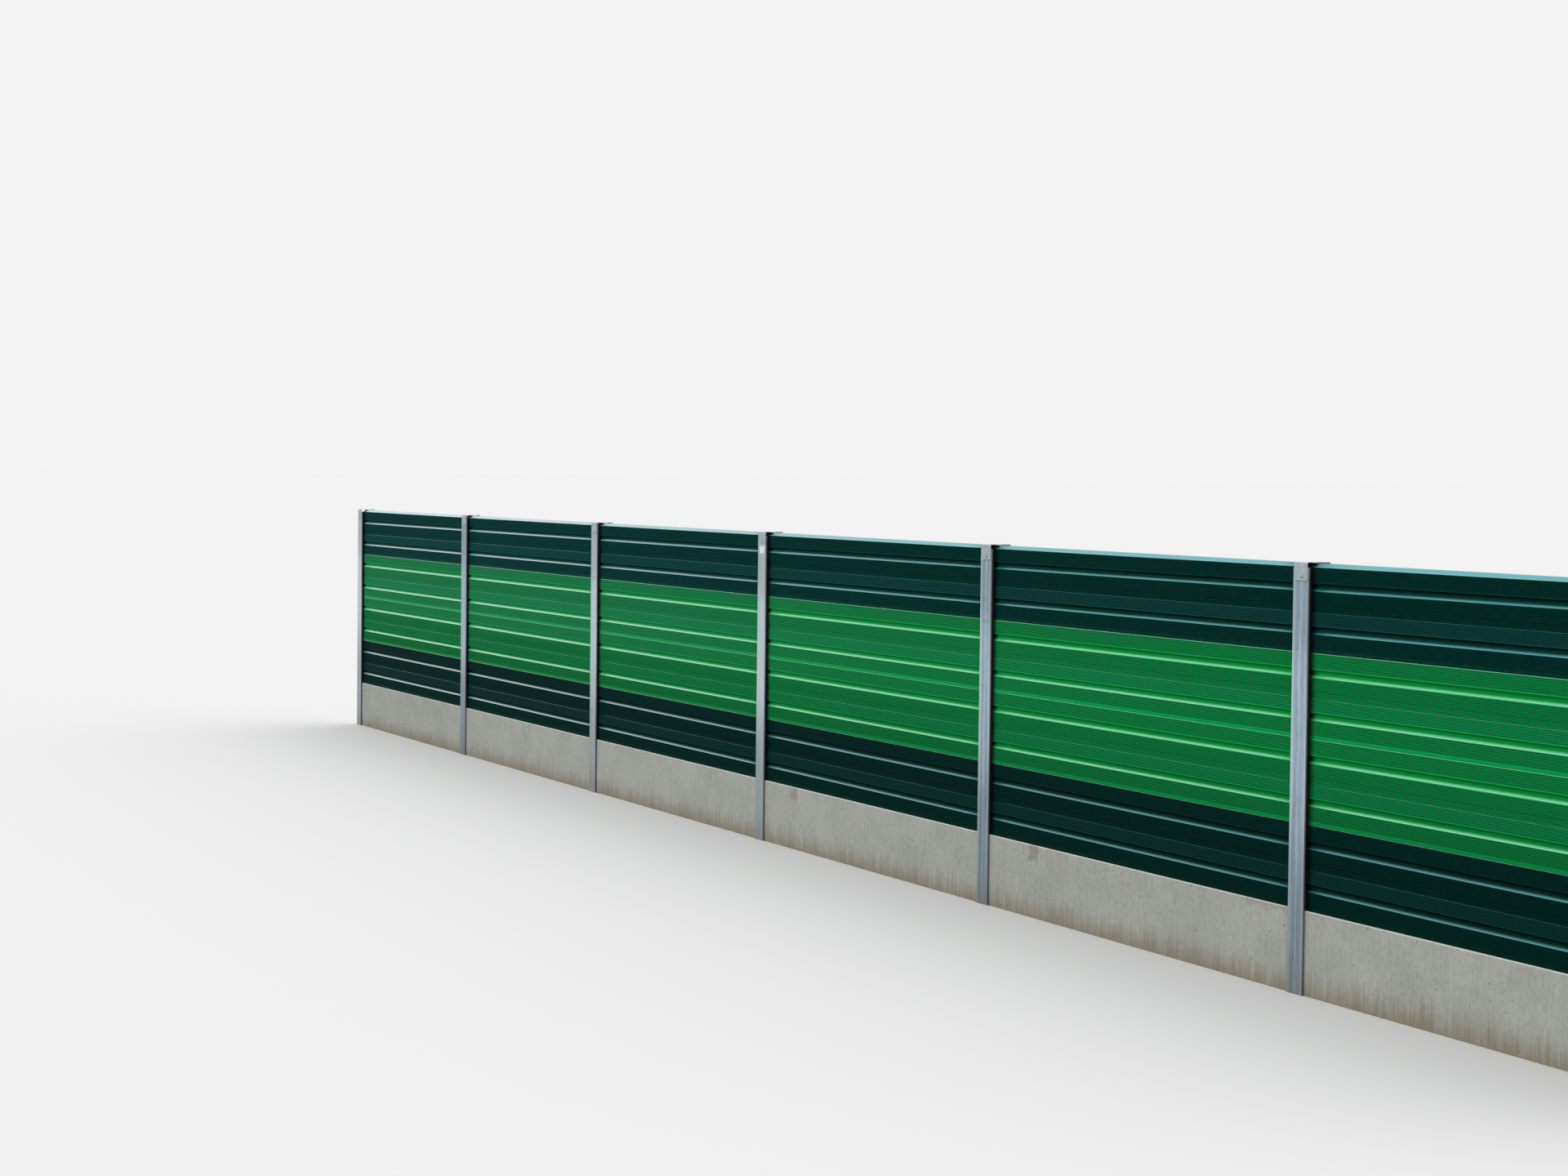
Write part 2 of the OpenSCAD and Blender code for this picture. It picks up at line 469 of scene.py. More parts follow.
@dataclass(frozen=True)
class CassettePaint:
    """Glossy coat on the cassettes' sheet, with painted highlights, painted sheen and painted shade.

    A Span is where an effect sets in and where it is full or over: heights above the cassette's lip, drops
    below a groove's top, depths behind the face and distances from a post's middle, and places in the frame
    where the name ends in _x or _z.
    """

    name: str
    face: Colour
    low_band: Colour
    slope: Colour
    # Painted highlight: the groove lips and the top tongue are lighter where they reflect the sky.
    lip_highlight: Colour
    floor: Colour
    # Painted shade on the groove roofs and just under them.
    roof_shade: Colour
    hole: Colour
    # Pale film, painted as sheen on the lips, joints and top, with a little real dirt.
    film: Colour
    sheen_and_dust_share: float
    # Painted light: faces that lean up are paler and more teal.
    lean_light: Colour
    lean_light_share: float
    # Painted sheen that grows towards -X along the wall and is stronger on the upper rows.
    bloom: Colour
    far_sheen_share: float
    lip_curve: float
    face_gloss: float = 0.002
    skin: float = 0.0005
    lip_depth: float = 0.0135
    floor_depth: Span = (0.011, 0.015)
    groove_top: float = 0.4025
    groove_pitch: float = 0.25
    roof_drop: Span = (0.0095, 0.0175)
    roof_depth: Span = (0.006, 0.010)
    bead_height: Span = (0.228, 0.282)
    band_height: Span = (0.004, 0.0215)
    brink_height: Span = (0.4950, 0.4975)
    # Span along X over which the painted sheen grows.
    sheen_along_x: Span = (-9.0, 9.0)
    # Distances from a post over which the painted lip highlight dims, as the post hides the reflection.
    post_hides_sheen: Span = (0.08, 0.34)
    # Painted shade on the sheet beside each post's seals.
    post_shade_reach: Span = (0.070, 0.150)
    shaded_z: Span = (0.75, 1.55)
    far_sheen_z: Span = (1.28, 1.42)
    perforation: Perforation = Perforation()

    def material(self, grid: WallGrid) -> bpy.types.Material:
        """Build the coat.

        Args:
            grid: The wall's grid.

        Returns:
            The material.
        """
        surface = Surface(self.name)
        zones = SheetZones(surface, grid, self)
        grime = surface.noise((16.0, 16.0, 26.0), 4.0, 17.0)
        wave = surface.noise((2.2, 2.2, 5.0), 1.0, 23.0)
        peel = surface.noise((420.0, 420.0, 420.0), 0.0, 31.0)
        return surface.finish(
            wave * 0.0008 + peel * 0.00002 - zones.holes * 0.0012,
            Base_Color=self.weathered_with_painted_light(surface, zones, grime),
            Metallic=zones.lip_highlight * 0.5,
            Roughness=0.42 + grime * 0.12 + zones.holes * 0.4,
            Coat_Weight=(zones.lip_highlight * (1.0 - self.face_gloss) + self.face_gloss) * (1.0 - zones.holes),
            Coat_Roughness=0.15,
            Coat_IOR=1.6,
            Specular_IOR_Level=0.005,
        )

    def fresh(self, surface: Surface, zones: "SheetZones") -> Field:
        """Colour the sheet zone by zone before dirt, with the painted highlight on the lips and the painted
        shade on the roofs.

        Args:
            surface: The material.
            zones: The sheet's zones.

        Returns:
            The colour.
        """
        paint = surface.mix(zones.low_band, self.face, self.low_band)
        paint = surface.mix(zones.floor, paint, self.floor)
        paint = surface.mix(zones.ledge, paint, surface.mix(zones.lip_highlight, self.slope, self.lip_highlight))
        return surface.mix(zones.roof_shade, paint, self.roof_shade)

    def weathered_with_painted_light(self, surface: Surface, zones: "SheetZones", grime: Field) -> Field:
        """Add painted sheen to the lips, joints and top, painted light on faces that lean up, a painted
        sheen that grows along the wall, painted shade low down and beside the posts, a little dirt, random
        tone and the holes.

        Args:
            surface: The material.
            zones: The sheet's zones.
            grime: Noise of the size of dirt patches.

        Returns:
            The colour.
        """
        # Painted sheen: the lips pale more further along the wall and the joints' top edges pale too. The
        # small grime term is real dirt, and the name dust covers both.
        dust = zones.lip_highlight * zones.age * zones.age * (1.0 - zones.crown * 0.27)
        dust = dust + zones.brink * zones.ledge * 0.31 + grime.rise(0.45, 0.75) * 0.01
        paint = surface.mix(dust * self.sheen_and_dust_share, self.fresh(surface, zones), self.film)
        # Painted light: faces that lean up are paler, and the tone below also darkens faces that lean down.
        paint = surface.mix(zones.lean.most(0.0) * self.lean_light_share, paint, self.lean_light)
        cloud = surface.noise((1.4, 1.4, 1.4), 3.0, 4.0)
        streak = surface.noise((38.0, 38.0, 1.1), 3.0, 9.0).rise(0.35, 0.65)
        tone = 0.94 + zones.lean * 0.06 + zones.lot * 0.05 + cloud * 0.06 + streak * 0.03
        tone = tone * (1.0 - surface.z.fall(*self.shaded_z) * (1.0 - zones.lip_highlight) * 0.36)
        paint = surface.mix(zones.holes, surface.shade(paint, tone), self.hole)
        # Painted sheen, stronger towards -X and on the upper rows; the field bloom holds its colour.
        far_sheen = zones.age * (surface.z.rise(*self.far_sheen_z) * 0.85 + 0.15)
        paint = surface.mix(far_sheen * self.far_sheen_share, paint, self.bloom)
        # Painted shade: a near-black band beside each post's seals.
        return surface.mix(zones.beside.fall(*self.post_shade_reach) * 0.90, paint, POST_SHADE)


class SheetZones:
    """Masks of the parts of a cassette's sheet, such as its lips, grooves and holes, and of where painted
    light and shade go.
    """

    def __init__(self, surface: Surface, grid: WallGrid, paint: CassettePaint) -> None:
        """Work the masks out from the place and slope of the surface.

        Args:
            surface: The material.
            grid: The wall's grid.
            paint: The coat, which says where each zone is.
        """
        rows = (surface.z - grid.lip_z) / grid.row
        height = (rows - rows.floored()) * grid.row
        depth = grid.face_y - abs(surface.y)
        bays = (surface.x - grid.first_x) / grid.bay
        self.lot = surface.chance(bays.floored(), rows.floored().least(len(Row) - 1.0), 3.0)
        self.beside = abs(bays - bays.rounded()) * grid.bay
        # How much painted sheen the sheet takes, growing towards -X.
        self.age = surface.x.fall(*paint.sheen_along_x)
        self.crown = surface.z > grid.top_z - 2 * paint.skin
        below_top = 1.0 - (surface.z > grid.top_z + paint.skin)
        self.ledge = surface.up.rise(0.06, 0.50)
        # Painted shade: the roofs of the grooves and the floor just under them are darkened.
        pitches = (paint.groove_top - height) / paint.groove_pitch
        drop = (pitches - pitches.floored()) * paint.groove_pitch
        shade = drop.fall(*paint.roof_drop) * depth.rise(*paint.roof_depth) * (1.0 - self.ledge)
        self.roof_shade = (-surface.up).rise(0.05, 0.45).most(shade)
        # How far a face leans up (+) or down (-), for painted light.
        self.lean = (surface.up * 50.0).most(-1.0).least(1.0) * (1.0 - self.ledge) * (1.0 - self.roof_shade)
        # Further along, the painted lip highlight reaches deeper into the groove.
        fade = (1.0 - self.age * 0.4) * paint.lip_curve
        near_lip = (1.0 - depth / paint.lip_depth).most(0.0) ** fade
        bead = height.band(*paint.bead_height, 0.001)
        # Painted highlight on the lips, weaker on the bead and full on the top tongue.
        lip_highlight = self.ledge * (1.0 - bead * 0.5) * near_lip.most(self.crown)
        # The painted lip highlight dims near each post, which hides the reflection there.
        self.lip_highlight = lip_highlight * (1.0 - self.beside.fall(*paint.post_hides_sheen) * 0.5)
        self.brink = height.rise(*paint.brink_height) * (1.0 - self.crown)
        self.floor = depth.rise(*paint.floor_depth) * below_top
        self.low_band = height.band(*paint.band_height, 0.002) * (1.0 - self.floor) * below_top
        self.holes = paint.perforation.mask(surface, height, grid) * below_top


@dataclass(frozen=True)
class RepairSmear:
    """Brushed zinc paint on a post's front flange, close under the cap."""

    half_width: float = 0.050
    low_z: float = 2.350
    notch_depth: float = 0.026
    notch_half: float = 0.020
    cap_foot_z: float = 2.420
    corner: float = 0.022
    behind_y: float = -0.070
    colour: Colour = tint(232, 229, 228)

    def mask(self, surface: Surface, across: Field) -> Field:
        """Draw the smear as a mask.

        Args:
            surface: The post's material.
            across: Distance from the post's middle along the wall.

        Returns:
            1 where the paint lies.
        """
        ragged = surface.noise((70.0, 70.0, 45.0), 3.0, 41.0) - 0.5
        side = abs(across) + ragged * 0.012
        corner = (across - (self.half_width - self.corner)).most(0.0) / self.corner
        low = surface.z - corner * corner * self.corner * 0.7 + ragged * 0.010
        dip = (1.0 - abs(across) / self.notch_half).most(0.0) * self.notch_depth
        below_notch = (surface.z + dip + ragged * 0.006).fall(
            self.cap_foot_z - 0.002, self.cap_foot_z + 0.002
        )
        painted = side.fall(self.half_width - 0.002, self.half_width + 0.002)
        painted = painted * low.rise(self.low_z - 0.003, self.low_z + 0.003)
        return painted * below_notch * (surface.y < self.behind_y)


@dataclass(frozen=True)
class HotDipZinc:
    """Hot-dipped steel: bluish streaks down the flange, pale rims and a faint spangle."""

    name: str
    light: Colour
    dark: Colour
    left_rim: Colour
    right_rim: Colour
    cut_edge: Colour = tint(84, 62, 74)
    mud: Colour = tint(112, 105, 92)
    streaks: float = 1.0
    smear: RepairSmear | None = None
    marks: tuple[Patch, ...] = ()
    flange_w: float = 0.160
    flange_y: float = 0.066
    rim_w: float = 0.024
    # Heights where the zinc darkens at the head, where painted shade darkens the foot, and where the right
    # rim darkens.
    darker_head_z: Span = (1.85, 2.15)
    foot_shade_z: Span = (0.60, 1.30)
    darker_rim_z: Span = (1.50, 1.90)
    mud_z: Span = (0.16, 0.44)
    profile: tuple[Span, ...] = (
        (0.0, 0.92), (0.13, 0.86), (0.19, 0.42), (0.30, 0.20), (0.41, 0.34), (0.465, 0.84),
        (0.545, 0.84), (0.60, 0.44), (0.76, 0.36), (0.86, 0.50), (0.91, 0.90), (1.0, 0.95),
    )

    def material(self, grid: WallGrid) -> bpy.types.Material:
        """Build the zinc.

        Args:
            grid: The wall's grid.

        Returns:
            The material.
        """
        surface = Surface(self.name)
        number = ((surface.x - grid.first_x) / grid.bay).rounded()
        across = surface.x - grid.first_x - number * grid.bay
        streak = surface.noise((150.0, 150.0, 1.8), 4.0, 11.0).rise(0.30, 0.70)
        broad = surface.noise((22.0, 22.0, 2.6), 3.0, 13.0).rise(0.30, 0.70)
        spangle = surface.cells((85.0, 85.0, 60.0), 3.0).also("Color")
        grain = surface.add("ShaderNodeSeparateColor", inputs={"Color": spangle})
        glint = grain * 0.05 + surface.chance(number, 5.0) * 0.05
        zinc = self.streaked(surface, across, streak * 0.28 + broad * 0.20)
        zinc = self.weathered_with_painted_light(surface, zinc, broad, glint)
        relief = grain * 0.00006 + streak * 0.0001
        metallic = 0.40 + grain * 0.10
        if self.smear is not None:
            painted = self.smear.mask(surface, across)
            brush = surface.noise((190.0, 190.0, 14.0), 2.0, 43.0)
            zinc = surface.mix(painted * (0.72 + brush * 0.25), zinc, self.smear.colour)
            relief = relief + painted * (0.0002 + brush * 0.0002)
            metallic = metallic * (1.0 - painted * 0.8)
        return surface.finish(
            relief,
            Base_Color=zinc,
            Metallic=metallic,
            Roughness=0.44 + grain * 0.08 + broad * 0.08,
            Specular_IOR_Level=0.3,
        )

    def streaked(self, surface: Surface, across: Field, lines: Field) -> Field:
        """Colour the section with streaks down its flange, pale rims and brownish cut edges.

        Args:
            surface: The material.
            across: Distance from the post's middle along the wall.
            lines: Share of the light colour that the fine streaks add.

        Returns:
            The colour.
        """
        sway = surface.noise((3.0, 3.0, 1.6), 2.0, 7.0) - 0.5
        place = (across + sway * 0.030) / self.flange_w + 0.5
        profile = surface.add("ShaderNodeValToRGB", {"stops": self.profile}, {"Fac": place})
        blot = surface.noise((44.0, 44.0, 13.0), 5.0, 29.0).rise(0.48, 0.66)
        share = (profile - 0.5) * 0.66 * self.streaks + 0.29 + lines - blot * 0.15
        rim = self.flange_w / 2 - self.rim_w
        wander = across + sway * 0.012
        left = (-wander).rise(rim - 0.006, rim + 0.006)
        right = wander.rise(rim + 0.004, rim + 0.012)
        zinc = surface.mix(left * 0.75, surface.mix(share, self.dark, self.light), self.left_rim)
        zinc = surface.mix(right * 0.75, zinc, self.right_rim)
        cut = abs(surface.along).rise(0.6, 0.9) * (abs(surface.y) > self.flange_y)
        zinc = surface.mix(cut * 0.45, zinc, self.cut_edge)
        # The right rim is darker higher up.
        return surface.shade(zinc, 1.0 - right * surface.z.rise(*self.darker_rim_z) * 0.20)

    def weathered_with_painted_light(self, surface: Surface, zinc: Field, broad: Field, glint: Field) -> Field:
        """Darken the head, paint shade on the foot, splash the foot with mud and lay the marks.

        Args:
            surface: The material.
            zinc: The colour so far.
            broad: Broad streaks, which make the darker places' edges uneven.
            glint: How much lighter the spangle and the post's own lot make the zinc.

        Returns:
            The colour.
        """
        wander_z = surface.z + (broad - 0.5) * 0.08
        # Darker at the head; painted shade darkens the foot.
        darkening = wander_z.rise(*self.darker_head_z) * 0.23 + wander_z.fall(*self.foot_shade_z) * 0.38
        zinc = surface.shade(zinc, (0.955 + glint) * (1.0 - darkening))
        splash = surface.z + surface.noise((9.0, 9.0, 3.0), 3.0, 19.0) * 0.30
        zinc = surface.mix(splash.fall(*self.mud_z) * 0.40, zinc, self.mud)
        ragged = (surface.noise((60.0, 60.0, 60.0), 3.0, 37.0) - 0.5) * 0.006
        for mark in self.marks:
            zinc = mark.lay(surface, zinc, ragged)
        return zinc


@dataclass(frozen=True)
class CapZinc:
    """Weathered zinc on the folded caps: matt, mottled and a little chalky, with a painted highlight on the
    top fold and painted shade in the flare's crease.
    """

    name: str
    light: Colour
    dark: Colour
    fold_highlight: Colour
    crease_shade: Colour
    fold_z: float
    foot_z: float
    crease_rise: float = 0.0095

    def material(self) -> bpy.types.Material:
        """Build the cap's zinc.

        Returns:
            The material.
        """
        surface = Surface(self.name)
        mottle = surface.noise((34.0, 34.0, 34.0), 5.0, 2.0).rise(0.30, 0.70)
        bloom = surface.noise((120.0, 120.0, 90.0), 3.0, 6.0).rise(0.35, 0.65)
        run = surface.noise((60.0, 60.0, 5.0), 3.0, 8.0).rise(0.35, 0.65)
        zinc = surface.mix(mottle * 0.6 + bloom * 0.25 + run * 0.15, self.dark, self.light)
        # Painted highlight along the cap's top fold.
        zinc = surface.mix(surface.z.rise(self.fold_z - 0.009, self.fold_z - 0.006), zinc, self.fold_highlight)
        # Painted shade in the crease where the skirt flares out.
        crease_shade = surface.z.near(self.foot_z + self.crease_rise, 0.004)
        zinc = surface.mix(crease_shade * 0.45, zinc, self.crease_shade)
        return surface.finish(
            mottle * 0.0002 + bloom * 0.00008,
            Base_Color=zinc,
            Metallic=0.18 + mottle * 0.10,
            Roughness=0.56 + bloom * 0.10,
            Specular_IOR_Level=0.3,
        )


@dataclass(frozen=True)
class CastConcrete:
    """Precast concrete with pores, runs, a soiled foot, a few tan stains and a painted highlight on its top
    edge.
    """

    name: str
    light: Colour
    dark: Colour
    # edge: colour of the painted highlight along the plinth's top edge.
    edge: Colour
    pore: Colour
    soil: Colour
    stains: tuple[Patch, ...]
    top_z: float

    def material(self, grid: WallGrid) -> bpy.types.Material:
        """Build the concrete.

        Args:
            grid: The wall's grid.

        Returns:
            The material.
        """
        surface = Surface(self.name)
        cloud = surface.noise((3.0, 3.0, 4.0), 5.0, 1.0).rise(0.30, 0.70)
        mottle = surface.noise((34.0, 34.0, 30.0), 6.0, 16.0).rise(0.30, 0.70)
        sand = surface.noise((260.0, 260.0, 260.0), 2.0, 5.0)
        run = surface.noise((70.0, 70.0, 4.0), 4.0, 12.0).rise(0.36, 0.68)
        panel = surface.chance(((surface.x - grid.first_x) / grid.bay).floored(), 8.0)
        share = cloud * 0.22 + mottle * 0.26 + sand * 0.40 + run * 0.15 + panel * 0.12 - 0.09
        concrete = surface.mix(share, self.dark, self.light)
        fringe = surface.noise((11.0, 11.0, 3.0), 4.0, 21.0)
        drip = surface.noise((45.0, 45.0, 2.0), 3.0, 27.0)
        foot = (surface.z + fringe * 0.14 + drip * 0.22).fall(0.14, 0.36)
        concrete = surface.mix(foot * 0.78, concrete, self.soil)
        ragged = (surface.noise((17.0, 17.0, 17.0), 4.0, 33.0) - 0.5) * 0.130
        for stain in self.stains:
            concrete = stain.lay(surface, concrete, ragged)
        # Painted highlight: the plinth's top edge is lighter where it catches the light.
        edge = surface.z.rise(self.top_z - 0.006, self.top_z - 0.003)
        concrete = surface.mix(edge * 0.45, concrete, self.edge)
        pore = self.pores(surface, 42.0, 0.80, 14.0).most(self.pores(surface, 15.0, 0.55, 18.0))
        concrete = surface.mix(pore * 0.66, concrete, self.pore)
        return surface.finish(
            cloud * 0.0006 + mottle * 0.0003 + sand * 0.0003 - pore * 0.002,
            Base_Color=concrete,
            Roughness=0.86 + sand * 0.10,
            Specular_IOR_Level=0.2,
        )

    @staticmethod
    def pores(surface: Surface, waves: float, rarity: float, seed: float) -> Field:
        """Draw air pores of one size as a mask.

        Args:
            surface: The material.
            waves: Cells a metre, of which a pore takes a small part.
            rarity: Share of the cells without a pore.
            seed: Shift that sets these pores apart from others.

        Returns:
            1 in a pore.
        """
        cells = surface.cells((waves, waves, waves), seed)
        pick = surface.add("ShaderNodeSeparateColor", inputs={"Color": cells.also("Color")})
        return cells.fall(0.05, 0.14) * (pick > rarity)


@dataclass(frozen=True)
class DustyRubber:
    """Black rubber with a film of dust."""

    name: str
    rubber: Colour
    dust: Colour

    def material(self) -> bpy.types.Material:
        """Build the rubber.

        Returns:
            The material.
        """
        surface = Surface(self.name)
        film = surface.noise((22.0, 22.0, 9.0), 4.0, 3.0).rise(0.42, 0.72)
        speck = surface.noise((300.0, 300.0, 300.0), 1.0, 15.0)
        settled = surface.up.rise(0.3, 0.9)
        rubber = surface.mix(film * 0.10 + settled * 0.35, self.rubber, self.dust)
        return surface.finish(
            speck * 0.0001,
            Base_Color=rubber,
            Roughness=0.62 + speck * 0.2,
            Specular_IOR_Level=0.25,
        )


def start_piece(add: Callable[..., object], **settings: object) -> bpy.types.Object:
    """Add a primitive on its own and apply its place and size to its mesh.

    Args:
        add: The operator that adds it.
        **settings: The operator's own settings.

    Returns:
        The new object, which is active and the only one selected.
    """
    bpy.ops.object.select_all(action="DESELECT")
    add(**settings)
    bpy.ops.object.transform_apply(location=True, rotation=True, scale=True)
    return bpy.context.object


def select_faces(piece: bpy.types.Object, wanted: Callable[[Vector, Vector], bool]) -> None:
    """Select faces of a piece in edit mode by their middle and normal.

    Args:
        piece: The piece.
        wanted: Takes a face's middle and normal, and says whether it is wanted.
    """
    bpy.ops.mesh.select_mode(type="FACE")
    mesh = bmesh.from_edit_mesh(piece.data)
    for face in mesh.faces:
        face.select_set(wanted(face.calc_center_median(), face.normal))
    mesh.select_flush_mode()
    bmesh.update_edit_mesh(piece.data)


def select_edges(piece: bpy.types.Object, wanted: Callable[[Vector, Vector], bool]) -> None:
    """Select edges of a piece in edit mode by their two ends.

    Args:
        piece: The piece.
        wanted: Takes an edge's two ends and says whether it is wanted.
    """
    bpy.ops.mesh.select_mode(type="EDGE")
    mesh = bmesh.from_edit_mesh(piece.data)
    for edge in mesh.edges:
        edge.select_set(wanted(edge.verts[0].co, edge.verts[1].co))
    mesh.select_flush_mode()
    bmesh.update_edit_mesh(piece.data)


def copy_piece(template: bpy.types.Object, name: str, where: Matrix) -> bpy.types.Object:
    """Copy a piece with a mesh of its own, moved inside the mesh.

    Args:
        template: The piece that is copied.
        name: The copy's name.
        where: How its mesh is turned and moved.

    Returns:
        The copy.
    """
    mesh = template.data.copy()
    mesh.name = name
    mesh.transform(where)
    piece = bpy.data.objects.new(name, mesh)
    bpy.context.scene.collection.objects.link(piece)
    return piece


@dataclass
class UprightSeals:
    """Ribbed rubber strips between the cassettes' ends and the posts' flanges."""

    grid: WallGrid
    finish: DustyRubber
    width: float = 0.025
    depth: float = 0.017
    offset_x: float = 0.0625
    foot_z: float = 0.5
    head_z: float = 2.493
    rib_edges: tuple[float, ...] = (-0.0060, -0.0035, -0.0012, 0.0012, 0.0035, 0.0060)
    rib_depth: float = 0.0018
    edge: float = 0.0006

    def model(self) -> bpy.types.Object:
        """Model one strip around the Z axis, with its ribs towards +X.

        Returns:
            The strip.
        """
        piece = start_piece(
            bpy.ops.mesh.primitive_cube_add,
            size=1.0,
            location=(0.0, 0.0, (self.foot_z + self.head_z) / 2),
            scale=(self.width, self.depth, self.head_z - self.foot_z),
        )
        bpy.ops.object.mode_set(mode="EDIT")
        for cut in self.rib_edges:
            bpy.ops.mesh.select_all(action="SELECT")
            bpy.ops.mesh.bisect(plane_co=(0.0, cut, 0.0), plane_no=(0.0, 1.0, 0.0))
        valleys = tuple(zip(self.rib_edges[::2], self.rib_edges[1::2]))
        select_faces(
            piece,
            lambda middle, normal: normal.x > 0.9 and any(a < middle.y < b for a, b in valleys),
        )
        bpy.ops.mesh.extrude_region_move(TRANSFORM_OT_translate={"value": (-self.rib_depth, 0.0, 0.0)})
        half = self.width / 2 - TOLERANCE
        select_edges(
            piece,
            lambda a, b: abs(a.z - b.z) > 1.0 and abs(a.x) > half and abs(b.x) > half,
        )
        bpy.ops.mesh.bevel(offset=self.edge, segments=2)
        bpy.ops.object.mode_set(mode="OBJECT")
        return piece

    def build(self) -> list[bpy.types.Object]:
        """Stand a strip at every flange side that has a cassette, front and rear.

        Returns:
            The strips.
        """
        template = self.model()
        template.data.materials.append(self.finish.material())
        pieces = []
        for number in self.grid.posts:
            for end in End:
                bay = number if end is End.RIGHT else number - 1
                if bay not in self.grid.bays:
                    continue
                turn = Matrix.Rotation(0.0 if end is End.RIGHT else math.pi, 4, "Z")
                for side in Side:
                    middle = Vector((
                        self.grid.post_x(number) + end.value * self.offset_x,
                        side.value * (self.grid.face_y + self.depth / 2),
                        0.0,
                    ))
                    pieces.append(copy_piece(
                        template,
                        f"seal_{end.name.lower()}_of_post_{number}_{side.name.lower()}",
                        Matrix.Translation(middle) @ turn,
                    ))
        bpy.data.objects.remove(template)
        return pieces


@dataclass
class BaseSeals:
    """Flat rubber strips with round edges between the plinths and the lowest cassettes."""

    grid: WallGrid
    finish: DustyRubber
    half_y: float = 0.045
    low_z: float = 0.495
    high_z: float = 0.5
    edge: float = 0.0024

    def model(self, low_x: float, high_x: float) -> bpy.types.Object:
        """Model one strip.

        Args:
            low_x: Its left end.
            high_x: Its right end.

        Returns:
            The strip.
        """
        piece = start_piece(
            bpy.ops.mesh.primitive_cube_add,
            size=1.0,
            location=((low_x + high_x) / 2, 0.0, (self.low_z + self.high_z) / 2),
            scale=(high_x - low_x, 2 * self.half_y, self.high_z - self.low_z),
        )
        bpy.ops.object.mode_set(mode="EDIT")
        select_edges(piece, lambda a, b: abs(a.x - b.x) > 1.0)
        bpy.ops.mesh.bevel(offset=self.edge, segments=3)
        bpy.ops.object.mode_set(mode="OBJECT")
        return piece

    def build(self) -> list[bpy.types.Object]:
        """Lay a strip on every plinth.

        Returns:
            The strips.
        """
        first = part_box("plinth_1")
        template = self.model(first[0][0], first[1][0])
        template.data.materials.append(self.finish.material())
        pieces = [
            copy_piece(
                template,
                f"base_seal_{bay}",
                Matrix.Translation(((bay - 1) * self.grid.bay, 0.0, 0.0)),
            )
            for bay in self.grid.bays
        ]
        bpy.data.objects.remove(template)
        return pieces


@dataclass
class CapScrews:
    """Flanged hexagon screws on rubber washers, one in each skirt of a cap."""

    grid: WallGrid
    steel: bpy.types.Material
    rubber: bpy.types.Material
    washer_r: float = 0.007
    washer_t: float = 0.0012
    washer_sides: int = 28
    flange_inset: float = 0.0008
    flange_t: float = 0.0008
    collar_inset: float = 0.0009
    collar_h: float = 0.0002
    head_across: float = 0.008
    head_h: float = 0.0025
    head_edge: float = 0.0003
    dish_inset: float = 0.0011
    dish_depth: float = 0.0004
    skirt_y: float = 0.079
    offset_x: float = 0.010
    height: float = 2.437
    turn: float = 0.37

    def model(self) -> bpy.types.Object:
        """Model one screw that stands on the XY plane, head up.

        Returns:
            The screw with its washer.
        """
        washer = start_piece(
            bpy.ops.mesh.primitive_cylinder_add,
            vertices=self.washer_sides,
            radius=self.washer_r,
            depth=self.washer_t,
            location=(0.0, 0.0, self.washer_t / 2),
        )
        washer.data.materials.append(self.steel)
        washer.data.materials.append(self.rubber)
        for face in washer.data.polygons:
            face.material_index = 1
        bpy.ops.object.mode_set(mode="EDIT")
        select_faces(washer, lambda middle, normal: normal.z > 0.9)
        bpy.ops.mesh.inset(thickness=self.flange_inset)
        washer.active_material_index = 0
        bpy.ops.object.material_slot_assign()
        bpy.ops.mesh.extrude_region_move(TRANSFORM_OT_translate={"value": (0.0, 0.0, self.flange_t)})
        bpy.ops.mesh.inset(thickness=self.collar_inset, depth=self.collar_h)
        bpy.ops.object.mode_set(mode="OBJECT")
        head = start_piece(
            bpy.ops.mesh.primitive_cylinder_add,
            vertices=6,
            radius=self.head_across / math.sqrt(3),
            depth=self.head_h,
            location=(0.0, 0.0, self.washer_t + self.flange_t + self.head_h / 2),
        )
        head.data.materials.append(self.steel)
        bpy.ops.object.mode_set(mode="EDIT")
        select_faces(head, lambda middle, normal: normal.z > 0.9)
        bpy.ops.mesh.inset(thickness=self.dish_inset)
        bpy.ops.transform.translate(value=(0.0, 0.0, -self.dish_depth))
        top = self.washer_t + self.flange_t + self.head_h - TOLERANCE
        select_edges(head, lambda a, b: a.z > top and b.z > top)
        bpy.ops.mesh.bevel(offset=self.head_edge, segments=1)
        bpy.ops.object.mode_set(mode="OBJECT")
        washer.select_set(True)
        bpy.context.view_layer.objects.active = washer
        bpy.ops.object.join()
        return washer

    def build(self) -> list[bpy.types.Object]:
        """Set two screws in every cap.

        Returns:
            One piece a cap.
        """
        template = self.model()
        pieces = []
        for number in self.grid.posts:
            x = self.grid.post_x(number) + self.offset_x
            pair = [
                copy_piece(
                    template,
                    f"cap_screws_{number}",
                    Matrix.Translation((x, side.value * self.skirt_y, self.height))
                    @ Matrix.Rotation(-side.value * math.pi / 2, 4, "X")
                    @ Matrix.Rotation(self.turn * number, 4, "Z"),
                )
                for side in Side
            ]
            bpy.ops.object.select_all(action="DESELECT")
            for screw in pair:
                screw.select_set(True)
            bpy.context.view_layer.objects.active = pair[0]
            bpy.ops.object.join()
            pieces.append(pair[0])
        bpy.data.objects.remove(template)
        return pieces


